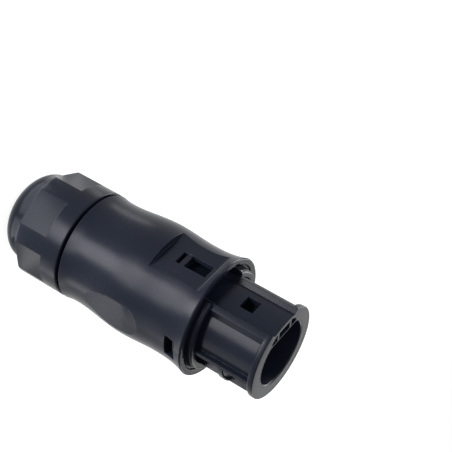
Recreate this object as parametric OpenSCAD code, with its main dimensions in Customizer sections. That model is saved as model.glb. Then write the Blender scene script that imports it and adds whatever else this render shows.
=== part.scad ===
// Microinverter AC connector, male half, three poles, field wired.
// It stands on the flat rear end of its cap nut. +Z runs along the axis to the mating face,
// and the key deck faces -Y. Sizes are millimetres.

/* [Cable gland] */
// Radius of the cable that the seal takes
cable_r = 7.0; // [6:0.1:7.5]
// Wall of the cable seal
seal_wall = 2.6; // [2:0.1:3.2]
// Wall of the claw ring's fingers
finger_wall = 1.65; // [1.2:0.05:2]
// Number of fingers on the claw ring
finger_count = 8; // [6:1:10]
// Width of the slots between the fingers
finger_slot = 1.4; // [0.8:0.1:2]
// Length of the claw ring's fingers behind its base ring
finger_len = 7.6; // [6.5:0.1:8.2]
// Thickness of the claw ring's base
cage_base = 2.4; // [2:0.1:3]
// Length of the claw ring's spigot inside the threaded neck
spigot_len = 8.0; // [6.5:0.1:9]

/* [Cap nut] */
// Length of the cap nut
nut_len = 24.3; // [23:0.1:27]
// Length of the nut's domed end
dome_len = 9.0; // [8.5:0.1:10]
// Step from the dome out to the nut's flats and collar
dome_step = 2.9; // [2.4:0.1:3.1]
// Distance from the nut's end to the dome's widest place
dome_wide_at = 5.9; // [5:0.1:7]
// Width of the flat ring on which the nut's end stands
end_width = 1.15; // [0.9:0.05:1.6]
// Thickness of the nut's end wall around the cable
end_wall = 2.2; // [1.6:0.1:2.6]
// Wall of the nut's collar over the thread
collar_wall = 2.45; // [2.1:0.05:3]
// Number of wrench flats
flat_count = 6; // [6:2:8]
// Depth of a wrench flat below the collar
flat_depth = 0.97; // [0.6:0.01:1.2]
// Distance from the nut's front end to the wrench flats
flat_setback = 5.65; // [4.5:0.05:7]
// Angle by which the flats are turned from the +X side
flat_turn = 1.7; // [-30:0.1:30]

/* [Shell] */
// Length of the shell between the nut's gap and its front rim
shell_len = 43.5; // [40:0.1:46]
// Gap left between the nut and the shell
nut_gap = 1.0; // [0.7:0.05:1.4]
// Wall of the threaded neck
neck_wall = 2.35; // [2:0.05:2.8]
// Length of the threaded neck behind the shell
neck_len = 10.0; // [9:0.1:11.5]
// Wall between the neck's pocket and the wiring space
web_wall = 3.5; // [3:0.1:4.5]
// Wall of the shell where it is narrowest over the core
core_wall = 2.75; // [2.6:0.05:3.2]
// Depth of the waist behind the nut's gap
waist_depth = 0.5; // [0.2:0.05:0.8]
// Height of the grip ridge above the narrowest place
ridge_rise = 0.65; // [0.4:0.05:1.1]
// Height of the front rim above the narrowest place
rim_rise = 1.35; // [1.1:0.05:1.8]
// Distance from the shell's rear end to the waist
waist_at = 4.3; // [3:0.1:5.5]
// Distance from the shell's rear end to the ridge
ridge_at = 20.5; // [18:0.1:23]
// Distance from the shell's rear end to the narrowest place
narrow_at = 32.7; // [30:0.1:35]
// Wall of the shell around the wiring space at the waist
wiring_wall = 2.8; // [2.2:0.1:3.4]

/* [Flats and windows of the shell] */
// Wall left under the flat pads on the key side and opposite
pad_wall = 1.4; // [1.3:0.05:1.7]
// Distance from the front rim to the rear step of the pads
pad_len = 18.4; // [17:0.1:20]
// Length of the ramp from a pad up to the rim
ramp_len = 3.5; // [3:0.1:3.8]
// Width of the key window
window_w = 4.3; // [4.2:0.1:5]
// Length of the key window
window_len = 9.2; // [8:0.1:10]
// Distance from the rim to the key window
window_front = 4.1; // [3.9:0.1:4.6]
// Width of the bar across the key window
bar_w = 1.5; // [1:0.1:2]
// Distance from the window's rear end to the bar
bar_gap = 0.8; // [0.5:0.1:1.2]
// Depth of the bar below the pad
bar_sink = 0.4; // [0.2:0.05:0.6]
// Width of the latch windows on both sides
latch_w = 7.4; // [6:0.1:8]
// Length of the latch windows
latch_len = 3.0; // [2.4:0.1:3.4]
// Distance from the rim to the latch windows
latch_front = 2.6; // [2.5:0.1:3.4]
// Depth of the grip flats below the ridge
grip_depth = 1.0; // [0.6:0.05:1.2]
// Radius of the grip flats' round front end
grip_end_r = 5.8; // [4.5:0.1:6.4]
// Distance from the shell's rear end to the grip flats' round end
grip_at = 22.2; // [20:0.1:24]

/* [Nose of the contact carrier] */
// Length of the nose in front of the shell's rim
nose_len = 20.3; // [18:0.1:22]
// Radius of the cavity for the mating plug
cavity_r = 9.6; // [9.3:0.1:10]
// Depth of the cavity for the mating plug
cavity_depth = 26.1; // [24:0.1:27]
// Distance from the axis to the flat side of the cavity
cavity_flat = 7.5; // [7.1:0.1:7.7]
// Corner radius of the cavity at its flat side
cavity_corner = 2.8; // [2:0.1:3.2]
// Chamfer around the mouth of the cavity
mouth_chamfer = 0.35; // [0.2:0.05:0.5]
// Wall of the round sleeve
sleeve_wall = 2.6; // [2.5:0.05:3]
// Depth of the key deck's crown below the sleeve
deck_drop = 0.3; // [0.2:0.05:0.4]
// Radius of the key deck's shallow arch
deck_arch = 20; // [16:0.5:30]
// Height of the front flange above the sleeve
flange_rise = 1.8; // [1.6:0.05:2.2]
// Thickness of the front flange
flange_t = 1.9; // [1.6:0.1:3]
// Rounding of the flange's rear edge
flange_round = 0.6; // [0.4:0.1:1]
// Height of the rails and ribs below the flange's edge
rib_setback = 0.3; // [0.1:0.05:0.6]
// Half width of the key deck
deck_half = 4.75; // [4.3:0.05:5.2]
// Half width of the key notch at the flange's edge
notch_half = 6.2; // [5.8:0.05:6.8]
// Wall of a rail beside the key deck
rail_wall = 0.95; // [0.7:0.05:1.2]
// Height of the first side rib's lower face above the axis
rib_y = -0.2; // [-1.2:0.1:0.4]
// Thickness of the first side rib
rib_t = 1.2; // [0.9:0.1:1.5]
// Thickness of the second side rib
thin_rib_t = 0.8; // [0.6:0.1:1.1]
// Height of the second side rib below the first
thin_rib_drop = 0.4; // [0.1:0.05:0.7]
// Angle of the second side rib, measured from the +X side towards the back
thin_rib_angle = 34; // [28:0.5:42]
// Depth of the recess between the side ribs
recess_depth = 0.8; // [0.5:0.1:1.1]
// Wall of the hoop that joins the ribs
hoop_wall = 0.6; // [0.5:0.1:0.9]
// Width of the hoop along the axis
hoop_w = 1.4; // [1:0.1:2]
// Distance from the mating face to the hoop
hoop_at = 9.8; // [8.5:0.1:13]
// Angle at which the hoop ends behind the second rib
hoop_end = 60; // [50:1:75]
// Width of the gusset behind the flange, opposite the key deck
gusset_w = 3.2; // [2.4:0.1:4]
// Length of the gusset behind the flange
gusset_len = 3.4; // [2.6:0.1:4.2]

/* [Pockets and latch hole of the key block] */
// Height of the three pockets in the key block
pocket_h = 2.5; // [2.2:0.1:2.6]
// Wall between the pockets and the cavity
pocket_floor = 0.6; // [0.5:0.05:0.8]
// Width of the middle pocket
pocket_w = 5.0; // [4.7:0.1:5.4]
// Web between two pockets
pocket_web = 0.75; // [0.5:0.05:1]
// Width of each outer pocket
side_pocket_w = 2.5; // [2:0.1:2.7]
// Depth of the pockets
pocket_depth = 16.0; // [14:0.1:18]
// Width of the latch hole in the deck
hole_w = 4.4; // [4.2:0.1:4.6]
// Length of the latch hole in the deck
hole_len = 4.2; // [4.1:0.1:5]
// Distance from the mating face to the latch hole
hole_at = 8.8; // [7.5:0.1:10]

/* [Ring and skirt of the contact carrier] */
// Height of the rear ring above the flange
ring_rise = 1.2; // [0.8:0.05:1.5]
// Wall of the rear ring
ring_wall = 1.2; // [0.8:0.05:1.3]
// Distance by which the ring stands in front of the rim
ring_proud = 1.8; // [1:0.1:2.4]
// Depth of the ring's seat behind the rim
ring_seat = 2.2; // [2:0.1:2.4]
// Depth of the trough inside the ring
trough_depth = 2.4; // [1.5:0.1:2.8]
// Length of the skirt behind the ring's seat
skirt_len = 16.4; // [15.5:0.1:17.5]
// Width of the groove for the core seal
seal_groove = 2.2; // [1.8:0.1:2.4]
// Section diameter of the core seal
oring_d = 1.4; // [1.2:0.05:1.5]
// Height of the latch hooks above the skirt
hook_rise = 1.9; // [1.4:0.1:2.2]

/* [Contacts] */
// Radius of the circle on which the three contacts sit
pitch_r = 4.6; // [4.45:0.05:4.9]
// Radius of the mating pin
pin_r = 0.95; // [0.8:0.01:1]
// Wall of a socket contact
socket_wall = 0.5; // [0.45:0.05:0.6]
// Wall of the insulating tubes
tube_wall = 0.75; // [0.5:0.05:0.8]
// Depth of the tubes' ends behind the mating face
tube_recess = 5.9; // [5:0.1:7]
// Depth of the contacts behind the tubes' ends
contact_recess = 1.2; // [0.8:0.1:1.8]
// Depth of the pin hole
socket_depth = 9.0; // [8:0.1:10]
// Width of the slits in a socket contact
slit_w = 0.3; // [0.2:0.05:0.35]
// Radius of the wire bore in a terminal
wire_r = 1.7; // [1.6:0.05:1.75]
// Wall of a terminal around the wire bore
terminal_wall = 1.3; // [1.1:0.05:1.4]
// Length of a terminal
terminal_len = 10.0; // [9.4:0.1:11]
// Depth of the wire bore
wire_depth = 8.5; // [8:0.1:8.8]
// Width of the bar between the insulating tubes
rest_w = 6.0; // [5:0.1:6.4]
// Thickness of the bar between the tubes
bar_t = 2.1; // [1.6:0.1:2.4]
// Height of the bar above the cavity's floor
bar_h = 10.3; // [4:0.1:12]
// Width of the tongue along the cavity's flat side
tongue_w = 7.4; // [5:0.1:8]
// Thickness of the tongue
tongue_t = 1.4; // [1:0.1:1.8]
// Height of the tongue above the cavity's floor
tongue_h = 14.5; // [6:0.1:15]
// Radius of the wire guide's pegs
peg_r = 0.8; // [0.6:0.05:1]
// Length of the wire guide's pegs
peg_len = 3.0; // [2:0.1:4]
// Length of the terminal block behind the skirt
block_tail = 8.7; // [8.4:0.1:9.4]
// Wall of the block between the screw heads and the carrier
block_wall = 0.1; // [0.05:0.05:0.3]
// Thickness of the wire guide
guide_t = 1.8; // [1.4:0.1:2.4]
// Radius of the spring collars' section
collar_t = 0.25; // [0.2:0.01:0.28]
// Length of a spring collar
collar_len = 2.5; // [2:0.1:3]

/* [Terminal screws] */
// Thread radius of a terminal screw
screw_r = 1.45; // [1.4:0.01:1.48]
// Head radius of a terminal screw
head_r = 2.2; // [2:0.05:2.3]
// Head height of a terminal screw
head_h = 1.5; // [1.2:0.1:1.6]
// Travel of a terminal screw
screw_travel = 2.0; // [1.7:0.05:2.1]
// Thickness of a clamp leaf
leaf_t = 0.4; // [0.3:0.05:0.45]
// Width of a clamp leaf
leaf_w = 1.8; // [1.4:0.1:1.9]
// Length of a clamp leaf
leaf_len = 4.4; // [3.6:0.1:5]
// Length of the crossed slots in a screw's head
slot_len = 3.0; // [2.4:0.1:3.6]
// Width of the crossed slots
slot_w = 0.5; // [0.4:0.05:0.7]

/* [Hidden] */
$fn = 96;

// Clearances: run between threads, fit between parts that slide together, seat between faces
run = 0.1;
fit = 0.15;
seat = 0.3;
eps = 0.01;
far = 40;

// Radii from the cable outwards to the nut
seal_r = cable_r + seal_wall;
cage_bore = seal_r + fit;
cage_r = cage_bore + finger_wall;
neck_bore = cage_r + fit + 0.05;
neck_r = neck_bore + neck_wall;
nut_bore = neck_r + run;
nut_r = nut_bore + collar_wall;
hole_r = cable_r + 0.4;
end_r = hole_r + end_width;
key_rise = 0.9;
key_w = 1.8;

// Radii from the contacts outwards to the shell
socket_r = pin_r + socket_wall;
tube_bore = socket_r + fit + 0.05;
tube_r = tube_bore + tube_wall;
terminal_r = wire_r + terminal_wall;
sleeve_r = cavity_r + sleeve_wall;
deck_top = sleeve_r - deck_drop;
deck_edge = deck_top - deck_arch + sqrt(deck_arch * deck_arch - deck_half * deck_half);
flange_r = sleeve_r + flange_rise;
rib_r = flange_r - rib_setback;
ring_r = flange_r + ring_rise;
seat_bore = ring_r + seat;
rim_step_r = seat_bore + 0.6;
head_top = terminal_r + screw_travel + fit + head_h + 0.05;
block_r = pitch_r + head_top + block_wall - 0.1;
skirt_bore = block_r + run;
skirt_r = skirt_bore + 2.3;
core_bore = skirt_r + 0.2;
narrow_r = core_bore + core_wall;
ridge_r = narrow_r + ridge_rise;
rim_r = narrow_r + rim_rise;
pad_y = core_bore + pad_wall;
grip_x = ridge_r - grip_depth;
rear_r = nut_r;
wiring_r = rear_r - waist_depth - wiring_wall;

// Places along the axis, from the nut's end to the mating face
z_nut = nut_len;
z_shell = z_nut + nut_gap;
z_rim = z_shell + shell_len;
z_face = z_rim + nose_len;
z_neck = z_shell - neck_len;
z_base_top = z_neck - nut_gap - run;
z_base = z_base_top - cage_base;
z_shoulder = z_base - seat;
z_fingers = z_base - finger_len;
z_spigot = z_base_top + spigot_len;
z_pocket = z_spigot + nut_gap + seat;
z_wiring = z_pocket + web_wall;
z_seat = z_rim - ring_seat;
z_skirt = z_seat - skirt_len;
z_floor = z_face - cavity_depth;
z_flange = z_face - flange_t;
z_tube = z_face - tube_recess;
z_contact = z_tube - contact_recess;
z_block = z_skirt - block_tail;
z_terminal = z_block + terminal_len;
z_screw = z_block + 5.0;
z_shank = z_floor - 0.5;
z_bore_end = z_skirt - 2.2;

// A contact's direction from the axis: two beside the key deck and the earth opposite
LINE = -30;
NEUTRAL = 210;
EARTH = 90;

// Blends from 0 to 1 that shape the shell's outline
function swell(s) = (1 - cos(180 * s)) / 2;
function flare(s) = pow(min(s, 1), 2.6);
rim_round = 0.5;
function outline_r(z) =
    z < waist_at ? rear_r - waist_depth * (1 - pow(1 - z / waist_at, 2)) :
    z < ridge_at ? rear_r - waist_depth
        + (ridge_r - rear_r + waist_depth) * swell((z - waist_at) / (ridge_at - waist_at)) :
    z < narrow_at ? ridge_r - ridge_rise * swell((z - ridge_at) / (narrow_at - ridge_at)) :
    narrow_r + rim_rise * flare((z - narrow_at) / (shell_len - rim_round - narrow_at));

// Outline of the nut's dome: a quarter of an ellipse from the end ring to the widest place
dome_top_r = nut_r - dome_step;
dome_half = dome_wide_at / sqrt(1 - pow(end_r / dome_top_r, 2));
function dome_r(z) = dome_top_r * sqrt(1 - pow((dome_wide_at - z) / dome_half, 2));

module tube(r_out, r_in, z0, z1) {
    translate([0, 0, z0]) difference() {
        cylinder(r = r_out, h = z1 - z0);
        translate([0, 0, -1]) cylinder(r = r_in, h = z1 - z0 + 2);
    }
}

module rod(r, z0, z1) {
    translate([0, 0, z0]) cylinder(r = r, h = z1 - z0);
}

module both_sides() {
    children();
    mirror([1, 0, 0]) children();
}

// Places its children on a contact's own axis, with +X pointing away from the connector's axis
module at_contact(angle) {
    rotate(angle) translate([pitch_r, 0, 0]) children();
}

// Cap nut: domed end, six wrench flats, round collar, cone for the fingers and thread bore
module cap_nut() {
    dome_steps = 16;
    lead = 0.5;
    edge = 0.3;
    color("#26282d") difference() {
        rotate_extrude() polygon(concat(
            [[0, 0]],
            [for (i = [0 : dome_steps]) let (z = dome_wide_at * i / dome_steps) [dome_r(z), z]],
            [[dome_top_r, dome_len], [nut_r - edge, dome_len], [nut_r, dome_len + edge]],
            [[nut_r, z_nut - lead / 2], [nut_r - lead / 2, z_nut], [0, z_nut]]));
        rod(hole_r, -1, end_wall + 1);
        translate([0, 0, end_wall]) cylinder(
            r1 = cage_bore - seat, r2 = cage_r + 0.2, h = z_fingers + 3 - end_wall);
        rod(cage_r + 0.2, z_fingers + 3 - eps, z_shoulder + 1);
        rod(nut_bore, z_shoulder, z_nut + 1);
        for (i = [0 : flat_count - 1]) rotate(flat_turn + i * 360 / flat_count)
            translate([nut_r - flat_depth, -far / 2, 2])
                cube([far, far, z_nut - flat_setback - 2]);
    }
}

// Claw ring: base ring, keyed spigot and fingers that close on the seal
module clamp_cage() {
    taper = 3;
    color("#3a3d44") difference() {
        union() {
            rod(cage_r, z_fingers + taper, z_spigot);
            translate([0, 0, z_fingers])
                cylinder(r1 = cage_bore + 0.1, r2 = cage_r, h = taper);
            rod(nut_bore - seat, z_base, z_base_top);
            for (a = [45 : 90 : 315]) rotate(a) translate([cage_bore + 0.5, -key_w / 2, z_base_top - eps])
                cube([cage_r + key_rise - cage_bore - 0.5, key_w, spigot_len - 0.4]);
        }
        rod(cage_bore, z_fingers - 1, z_spigot + 1);
        for (i = [0 : finger_count - 1]) rotate(i * 360 / finger_count)
            translate([cage_bore - 1, -finger_slot / 2, z_fingers - 1])
                cube([finger_wall + 3, finger_slot, finger_len + 0.4]);
    }
}

// Cable seal: rubber sleeve inside the claw ring
module cable_seal() {
    edge = 0.6;
    z0 = z_fingers + 0.2;
    z1 = z_spigot - 0.2;
    color("#1c1c1e") rotate_extrude() polygon([
        [cable_r + edge, z0], [seal_r - edge, z0], [seal_r, z0 + edge], [seal_r, z1 - edge],
        [seal_r - edge, z1], [cable_r + edge, z1], [cable_r, z1 - edge], [cable_r, z0 + edge]]);
}

// Outer surface of the shell from its rear end to its rim
module shell_outline() {
    steps = 40;
    rotate_extrude() polygon(concat(
        [[0, z_shell]],
        [for (i = [0 : steps]) let (z = (shell_len - rim_round) * i / steps)
            [outline_r(z), z_shell + z]],
        [for (a = [22.5, 45, 67.5, 90])
            [rim_r - rim_round * (1 - cos(a)), z_rim - rim_round * (1 - sin(a))]],
        [[0, z_rim]]));
}

// Flat pad with a ramp up to the rim, as a cutter on the -Y side
module pad_cutter() {
    z0 = z_rim - pad_len;
    rotate([90, 0, 90]) translate([0, 0, -far / 2]) linear_extrude(far) polygon([
        [-pad_y, z0], [-pad_y, z_rim - ramp_len], [-rim_r - 0.2, z_rim - 0.2],
        [-rim_r - 2, z_rim], [-far, z_rim], [-far, z0]]);
}

// Flat grip on the +X side, with a round front end
module grip_cutter() {
    z0 = z_shell + grip_at;
    translate([grip_x, 0, z0]) rotate([0, 90, 0]) cylinder(r = grip_end_r, h = far);
    translate([grip_x, -grip_end_r, z_shell + waist_at]) cube([far, 2 * grip_end_r, grip_at - waist_at]);
}

// Small notches in the inner edge of the rim: angle from the key side and width
RIM_NOTCHES = [[-88, 3.3], [-26.5, 2.4], [26.5, 2.4], [88, 3.3], [180, 2.9]];

// Shell: threaded neck, wiring space, bulged body with pads, windows and flared rim
module shell() {
    z_window = z_rim - window_front - window_len;
    color("#2b2d33") difference() {
        union() {
            shell_outline();
            rod(neck_r, z_neck, z_shell + 1);
        }
        // neck pocket with keyways, cable passage and wiring space
        rod(neck_bore, z_neck - 1, z_pocket);
        for (a = [45 : 90 : 315]) rotate(a) translate([neck_bore - 1, -key_w / 2 - fit, z_neck - 1])
            cube([cage_r + key_rise + fit - neck_bore + 1, key_w + 2 * fit, z_pocket - z_neck + 0.8]);
        rod(seal_r - 0.6, z_pocket - 1, z_wiring + 1);
        rod(wiring_r, z_wiring, z_bore_end);
        // bores for the core's skirt and ring, and the step inside the rim
        translate([0, 0, z_bore_end - (core_bore - wiring_r)]) cylinder(
            r1 = wiring_r, r2 = core_bore, h = core_bore - wiring_r + eps);
        rod(core_bore, z_bore_end, z_seat + 1);
        rod(seat_bore, z_seat, z_rim + 1);
        rod(rim_step_r, z_rim - 0.9, z_rim + 1);
        for (n = RIM_NOTCHES) rotate(n[0] - 90) translate([0, -n[1] / 2, z_rim - 1.2])
            cube([rim_step_r + 0.65, n[1], far]);
        // pads on the key side and opposite, and the two grip flats
        pad_cutter();
        rotate(180) pad_cutter();
        both_sides() grip_cutter();
        // key window with its bar left standing, and the two latch windows
        difference() {
            translate([-window_w / 2, -far, z_window]) cube([window_w, far, window_len]);
            translate([-window_w, bar_sink - pad_y, z_window + bar_gap])
                cube([2 * window_w, pad_wall - bar_sink, bar_w]);
        }
        both_sides() translate([0, -latch_w / 2, z_rim - latch_front - latch_len])
            cube([far, latch_w, latch_len]);
    }
}

// Cross-section of the cavity: a circle with a flat side and round corners, grown by a margin
module cavity_2d(grow = 0) {
    r = cavity_r + grow;
    flat = cavity_flat + grow;
    c = cavity_corner + grow;
    cx = sqrt(pow(r - c, 2) - pow(flat - c, 2));
    reach = 2 * r / (r - c);
    intersection() {
        circle(r);
        polygon([[cx, -flat], [cx, c - flat], [cx * reach, (c - flat) * reach], [2 * r, 2 * r],
            [-2 * r, 2 * r], [-cx * reach, (c - flat) * reach], [-cx, c - flat], [-cx, -flat]]);
    }
    both_sides() translate([cx, c - flat]) circle(c);
}

// Cross-section of a rail beside the key deck, on the +X side; the notch shapes its inner wall
module rail_2d() {
    outer = notch_half + rail_wall;
    intersection() {
        circle(rib_r);
        polygon([[deck_half - 1, -cavity_r - 0.6], [deck_half - 1, -flange_r], [outer, -flange_r],
            [outer + 0.6, 1.7 - cavity_r - sleeve_wall / 2], [outer, -cavity_r + 1.1]]);
    }
}

// Cross-section of the nose behind the flange: sleeve, rails and side ribs
module nose_2d() {
    difference() {
        circle(sleeve_r);
        both_sides() intersection() {
            difference() {
                circle(far);
                circle(sleeve_r - recess_depth);
            }
            translate([1, rib_y + rib_t]) square([far, far]);
            rotate(thin_rib_angle) translate([0, -far]) square([far, far]);
        }
    }
    both_sides() rail_2d();
    both_sides() rib_2d(rib_y, rib_t, rib_r);
    both_sides() rotate(thin_rib_angle) rib_2d(-thin_rib_t / 2, thin_rib_t, rib_r - thin_rib_drop);
}

// Cross-section of a side rib on the +X side: height of its lower face, thickness and radius
module rib_2d(y, t, r) {
    intersection() {
        difference() {
            circle(r);
            circle(cavity_r + 0.3);
        }
        translate([1, y]) square([far, t]);
    }
}

// The key notch above the deck's shallow arch, with splayed side walls
module notch_2d() {
    slope = (notch_half - deck_half)
        / (sqrt(flange_r * flange_r - notch_half * notch_half) - deck_edge);
    difference() {
        polygon([[-deck_half, 1 - deck_edge], [deck_half, 1 - deck_edge], [deck_half, -deck_edge],
            [deck_half + slope * 5, -deck_edge - 5], [-deck_half - slope * 5, -deck_edge - 5],
            [-deck_half, -deck_edge]]);
        translate([0, deck_arch - deck_top]) circle(deck_arch, $fn = 360);
    }
}

// One outer pocket with a sloped top, on the +X side
module side_pocket_2d() {
    x0 = pocket_w / 2 + pocket_web;
    x1 = x0 + side_pocket_w;
    y0 = -cavity_flat - pocket_floor;
    polygon([[x0, y0], [x1 - 0.5, y0], [x1 + 0.15, y0 - 0.4], [x1 + 0.15, y0 - 0.7],
        [x1 - 0.25, y0 - pocket_h * 0.5], [x0 + 0.5, y0 - pocket_h], [x0, y0 - pocket_h]]);
}

// Contact carrier: flange, sleeve, key block with pockets, ribs, hoop, rear ring and skirt
module contact_carrier() {
    z_groove = z_skirt + 1.2;
    z_ring = z_rim + ring_proud;
    z_trough = z_ring - trough_depth;
    hook_w = latch_w - 1;
    z_hook = z_rim - latch_front - latch_len + 0.3;
    y_hoop = rib_y + rib_t / 2;
    color("#2b2d33") difference() {
        union() {
            // flange with a rounded rear edge
            rotate_extrude() polygon(concat(
                [[0, z_flange], [flange_r - flange_round, z_flange]],
                [for (i = [1 : 4]) let (a = 22.5 * i) [
                    flange_r - flange_round + flange_round * sin(a),
                    z_flange + flange_round - flange_round * cos(a)]],
                [[flange_r, z_face - 0.15], [flange_r - 0.15, z_face], [0, z_face]]));
            translate([0, 0, z_seat]) linear_extrude(z_flange - z_seat + eps) nose_2d();
            // hoops on both sides, from the first rib past the second, and the gusset at the back
            both_sides() intersection() {
                tube(rib_r, rib_r - hoop_wall, z_face - hoop_at - hoop_w, z_face - hoop_at);
                linear_extrude(z_face) polygon([[0, y_hoop], [far, y_hoop], [far, far * sin(hoop_end)],
                    [far * cos(hoop_end), far * sin(hoop_end)]]);
            }
            translate([-gusset_w / 2, 0, 0]) rotate([90, 0, 90]) linear_extrude(gusset_w) polygon([
                [sleeve_r - 1, z_flange - gusset_len], [sleeve_r, z_flange - gusset_len],
                [rib_r, z_flange - 0.6],
                [rib_r, z_flange + eps], [sleeve_r - 1, z_flange + eps]]);
            // rear ring, open where the key deck passes
            difference() {
                rod(ring_r, z_seat, z_ring);
                rod(ring_r - ring_wall, z_trough, z_ring + 1);
                translate([-notch_half - rail_wall, -far, z_seat - 1])
                    cube([2 * (notch_half + rail_wall), far, far]);
            }
            rod(skirt_r, z_skirt, z_seat + eps);
            // latch hooks in the shell's side windows
            both_sides() intersection() {
                rod(skirt_r + hook_rise, z_hook - 4, z_hook + latch_len - 0.6);
                translate([0, -hook_w / 2, 0]) rotate([-90, 0, 0]) linear_extrude(hook_w) polygon([
                    [skirt_r - 1, -z_hook - latch_len + 0.6],
                    [skirt_r + hook_rise, -z_hook - latch_len + 0.6],
                    [skirt_r + hook_rise, -z_hook - 1], [skirt_r + 0.05, -z_hook],
                    [skirt_r - 1, -z_hook]]);
            }
        }
        // cavity, its chamfered mouth and the bore for the terminal block
        translate([0, 0, z_floor]) linear_extrude(cavity_depth + 1) cavity_2d();
        translate([0, 0, z_face - mouth_chamfer]) linear_extrude(1) cavity_2d(mouth_chamfer);
        rod(skirt_bore, z_skirt - 1, z_floor);
        // key notch above the deck, from the shell's window to the mating face
        translate([0, 0, z_rim - window_front - window_len - 1]) linear_extrude(far) notch_2d();
        // pockets and latch hole
        translate([0, 0, z_face - pocket_depth]) linear_extrude(far) {
            translate([-pocket_w / 2, -cavity_flat - pocket_floor - pocket_h])
                square([pocket_w, pocket_h]);
            both_sides() side_pocket_2d();
        }
        translate([-hole_w / 2, -far, z_face - hole_at - hole_len])
            cube([hole_w, far - cavity_flat - pocket_floor - pocket_h / 2, hole_len]);
        // groove of the core seal and the slits that free the latch hooks
        tube(skirt_r + 1, skirt_r - oring_d + 0.2 - 0.1, z_groove, z_groove + seal_groove);
        both_sides() for (y = [-1, 1]) translate([skirt_bore - 2, y * (hook_w / 2 + 0.6) - 0.3, z_hook - 4.5])
            cube([6, 0.6, z_floor - z_hook + 4.2]);
    }
}

// Core seal: O-ring in the skirt's groove, against the shell's bore
module core_seal() {
    inner = skirt_r - oring_d + 0.1;
    z0 = z_skirt + 1.2 + seal_groove / 2;
    mid = (inner + core_bore) / 2;
    section = (core_bore - inner) / 2 - 0.01;
    color("#17181a") rotate_extrude() translate([mid, z0]) circle(section, $fn = 32);
}

// The bores of one contact in the terminal block
module contact_bores(angle) {
    at_contact(angle) {
        rod(terminal_r + 0.05, z_block - 1, z_terminal + 0.05);
        rod(1.95, z_terminal, z_shank + 0.1);
        rod(tube_bore, z_shank, z_tube + 1);
        translate([0, 0, z_screw]) rotate([0, 90, 0]) cylinder(r = head_r + 0.2, h = far);
    }
}

// Pegs of the wire guide, between the terminals
module guide_pegs(r, z0, z1) {
    for (a = [30, 150, 270]) rotate(a) translate([block_r - 2.2, 0, 0]) rod(r, z0, z1);
}

// Terminal block: drum with the terminals' chambers and the three insulating tubes
bar_y = -0.4;
module terminal_block() {
    color("#202227") difference() {
        union() {
            rod(block_r, z_block, z_floor);
            for (a = [LINE, NEUTRAL, EARTH]) at_contact(a) rod(tube_r, z_floor - eps, z_tube);
            // bar between the tubes, and tongue along the cavity's flat side
            translate([-rest_w / 2, bar_y, z_floor - eps]) cube([rest_w, bar_t, bar_h]);
            translate([-tongue_w / 2, fit - cavity_flat, z_floor - eps])
                cube([tongue_w, tongue_t, tongue_h]);
        }
        for (a = [LINE, NEUTRAL, EARTH]) contact_bores(a);
        guide_pegs(peg_r + 0.05, z_block - 1, z_block + peg_len + 0.2);
        // round mark in the bar's top
        translate([0, bar_y + bar_t / 2, z_floor + bar_h - 0.2]) cylinder(r = 0.7, h = 1, $fn = 48);
    }
}

// Wire guide: closes the block's rear and leads the three wires in
guide_r = wire_r + 0.4;
funnel = guide_t * 0.45;
module wire_guide() {
    color("#33363c") {
        difference() {
            rod(block_r, z_block - guide_t, z_block);
            for (a = [LINE, NEUTRAL, EARTH]) at_contact(a) {
                rod(guide_r, z_block - guide_t - 1, z_block + 1);
                translate([0, 0, z_block - guide_t - eps])
                    cylinder(r1 = guide_r + funnel, r2 = guide_r, h = funnel);
            }
        }
        guide_pegs(peg_r, z_block - eps, z_block + peg_len);
    }
}

// Contact on its own axis: terminal with wire bore and screw thread, shank and slotted socket
module contact() {
    groove_z = z_contact - 2.2 - collar_len;
    mouth = 0.25;
    color("#c8c2b4") difference() {
        union() {
            rod(terminal_r, z_block, z_terminal);
            rod(1.9, z_terminal - eps, z_shank);
            rod(socket_r, z_shank - eps, z_contact);
        }
        rod(wire_r, z_block - 1, z_block + wire_depth);
        rod(pin_r, z_contact - socket_depth, z_contact + 1);
        translate([0, 0, z_contact - mouth])
            cylinder(r1 = pin_r, r2 = pin_r + mouth + 0.05, h = mouth + 0.05);
        tube(socket_r + 1, socket_r - collar_t, groove_z, groove_z + collar_len);
        for (a = [0, 90]) rotate(a) translate([-slit_w / 2, -3, z_contact - socket_depth + 1])
            cube([slit_w, 6, socket_depth]);
        translate([0, 0, z_screw]) rotate([0, 90, 0]) cylinder(r = screw_r + 0.05, h = far);
    }
}

// Spring collar in the groove of a contact
module spring_collar() {
    z0 = z_contact - 2.2 - collar_len + 0.05;
    color("#9a9ca0") difference() {
        tube(socket_r + 0.08, socket_r - collar_t + 0.02, z0, z0 + collar_len - 0.1);
        translate([0, -0.25, z0 - 1]) cube([far, 0.5, collar_len + 2]);
    }
}

// Clamp leaf under the screw's tip, at the open end of its travel
leaf_top = sqrt(pow(wire_r - 0.1, 2) - pow(leaf_w / 2, 2)) - 0.05;
module clamp_leaf() {
    color("#b5ad9a") translate([leaf_top - leaf_t, -leaf_w / 2, z_screw - leaf_len / 2])
        cube([leaf_t, leaf_w, leaf_len]);
}

// Terminal screw with a crossed slot, along +X from the contact's axis
module terminal_screw() {
    tip = leaf_top + 0.05;
    under = terminal_r + screw_travel + fit;
    color("#b9bcc0") translate([0, 0, z_screw]) rotate([0, 90, 0]) difference() {
        union() {
            rod(screw_r, tip, under + eps);
            rod(head_r, under, under + head_h);
        }
        for (a = [0, 90]) rotate(a) translate([-slot_len / 2, -slot_w / 2, under + head_h - 0.7])
            cube([slot_len, slot_w, 1]);
    }
}

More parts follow.
